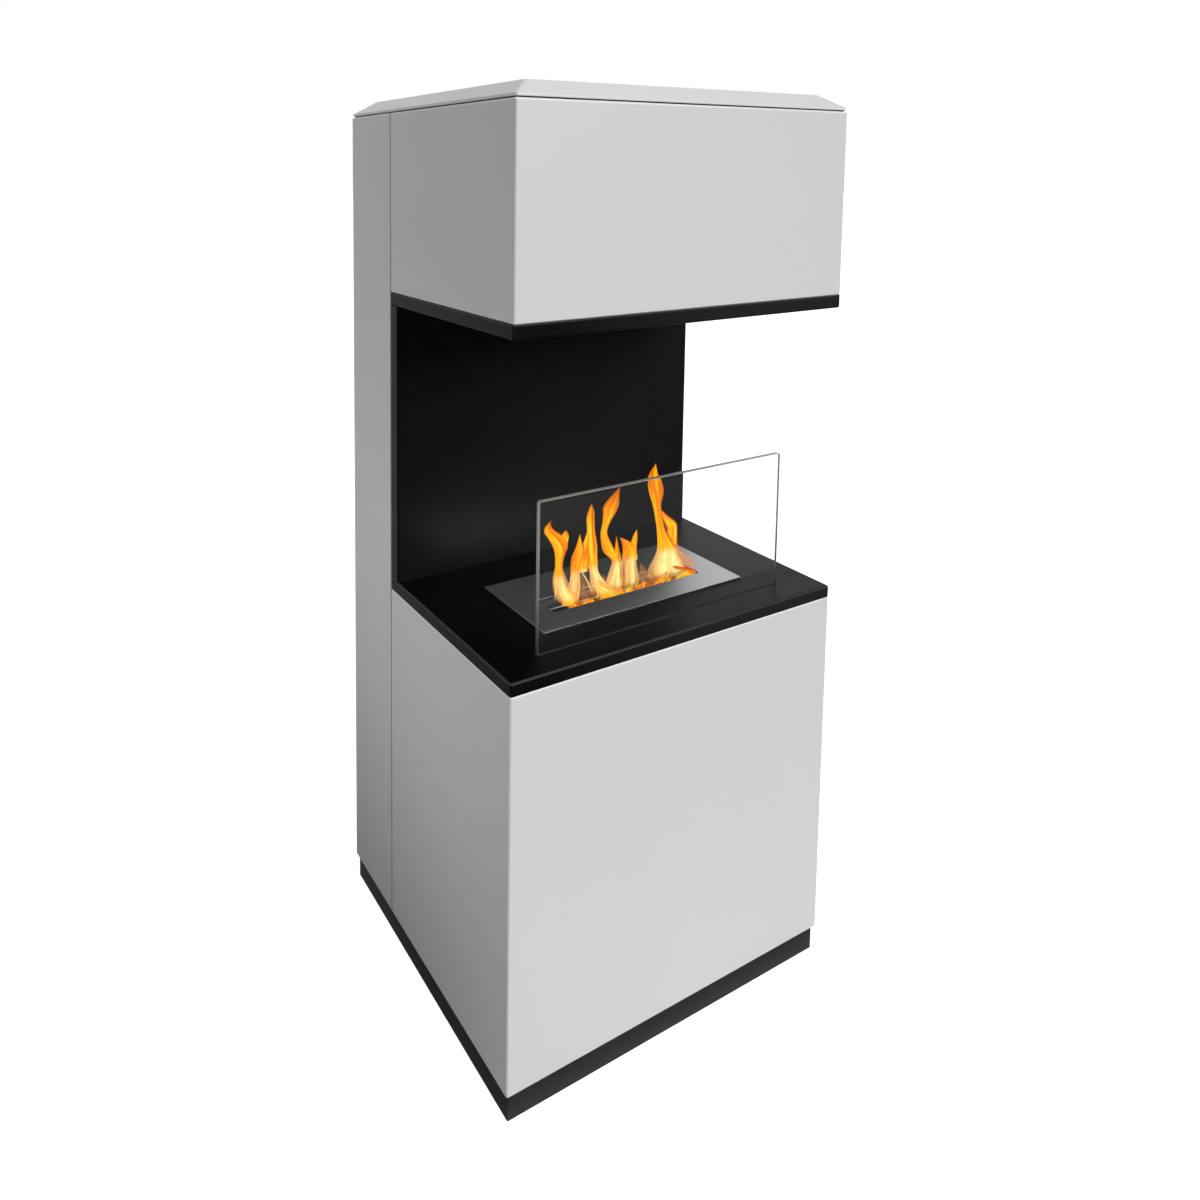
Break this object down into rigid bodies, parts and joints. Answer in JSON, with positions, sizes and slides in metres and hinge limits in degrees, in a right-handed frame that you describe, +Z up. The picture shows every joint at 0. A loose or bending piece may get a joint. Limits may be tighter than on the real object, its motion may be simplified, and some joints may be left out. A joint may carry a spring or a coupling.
{
  "type": "bioethanol fireplace",
  "caption": "Free-standing bioethanol fireplace: lacquered cabinet and hood on a rear column, fire chamber open on three sides, black shelf with slotted burner and glass screen.",
  "frame": {"origin": "on the floor, centre of the footprint", "axes": "+Z up, +Y to the back, +X to the right when facing the front; the front faces -Y"},
  "size_m": [0.5, 0.41, 1.15],
  "materials": {
    "white_lacquer": "fibreboard with a light grey-white satin lacquer",
    "raw_board": "bare fibreboard and pine, inside",
    "black_lacquer": "black lacquered board",
    "black_steel": "black powder coat with a fine texture",
    "insulation_board": "matt mineral insulating board",
    "zinc_steel": "zinc plated",
    "coated_well": "black heat-proof paint",
    "black_seal": "matt black heat-proof strip",
    "brushed_stainless": "brushed along its length",
    "stainless": "mill finish with heat tint",
    "slider_steel": "mill finish",
    "ceramic_wool": "compressed white ceramic fibre",
    "clear_glass": "clear toughened glass with ground edges"
  },
  "bodies": {
    "cabinet": {"plinth_front": "black_lacquer", "plinth_back": "black_lacquer", "plinth_left": "black_lacquer", "plinth_right": "black_lacquer", "plinth_blocks": "raw_board", "base_floor": "raw_board", "base_front": "white_lacquer", "base_left_side": "white_lacquer", "base_right_side": "white_lacquer", "base_battens": "raw_board", "column_floor": "raw_board", "column_left_side": "white_lacquer", "column_right_side": "white_lacquer", "column_front": "raw_board", "column_back": "raw_board", "column_top": "raw_board", "hood_front": "white_lacquer", "hood_left_side": "white_lacquer", "hood_right_side": "white_lacquer", "hood_floor": "raw_board", "hood_top": "raw_board", "hood_battens": "raw_board", "cap_spacer": "black_lacquer", "top_cap": "white_lacquer", "shelf_pan": "black_steel", "shelf_core": "raw_board", "hood_pan": "black_steel", "hood_core": "insulation_board", "hood_studs": "zinc_steel", "hood_nuts": "zinc_steel", "back_pan": "black_steel", "back_core": "insulation_board", "back_studs": "zinc_steel", "back_nuts": "zinc_steel", "burner_well": "coated_well", "glass_channel": "coated_well", "glass_seals": "black_seal"},
    "burner": {"burner_plate": "brushed_stainless", "burner_tank": "stainless", "ceramic_fibre": "ceramic_wool", "fibre_screen": "stainless", "slider_rails": "stainless"},
    "slider": {"burner_slider": "slider_steel"},
    "glass": {"glass_pane": "clear_glass"}
  },
  "joints": [
    {"name": "slider_travel", "type": "slide", "parent": "burner", "child": "slider", "axis": [0, -1, 0], "range_m": [-0.0175, 0.0195]},
    {"name": "burner_lift", "type": "slide", "parent": "cabinet", "child": "burner", "axis": [0, 0, 1], "range_m": [0, 0.09]},
    {"name": "glass_lift", "type": "slide", "parent": "cabinet", "child": "glass", "axis": [0, 0, 1], "range_m": [0, 0.18]}
  ]
}
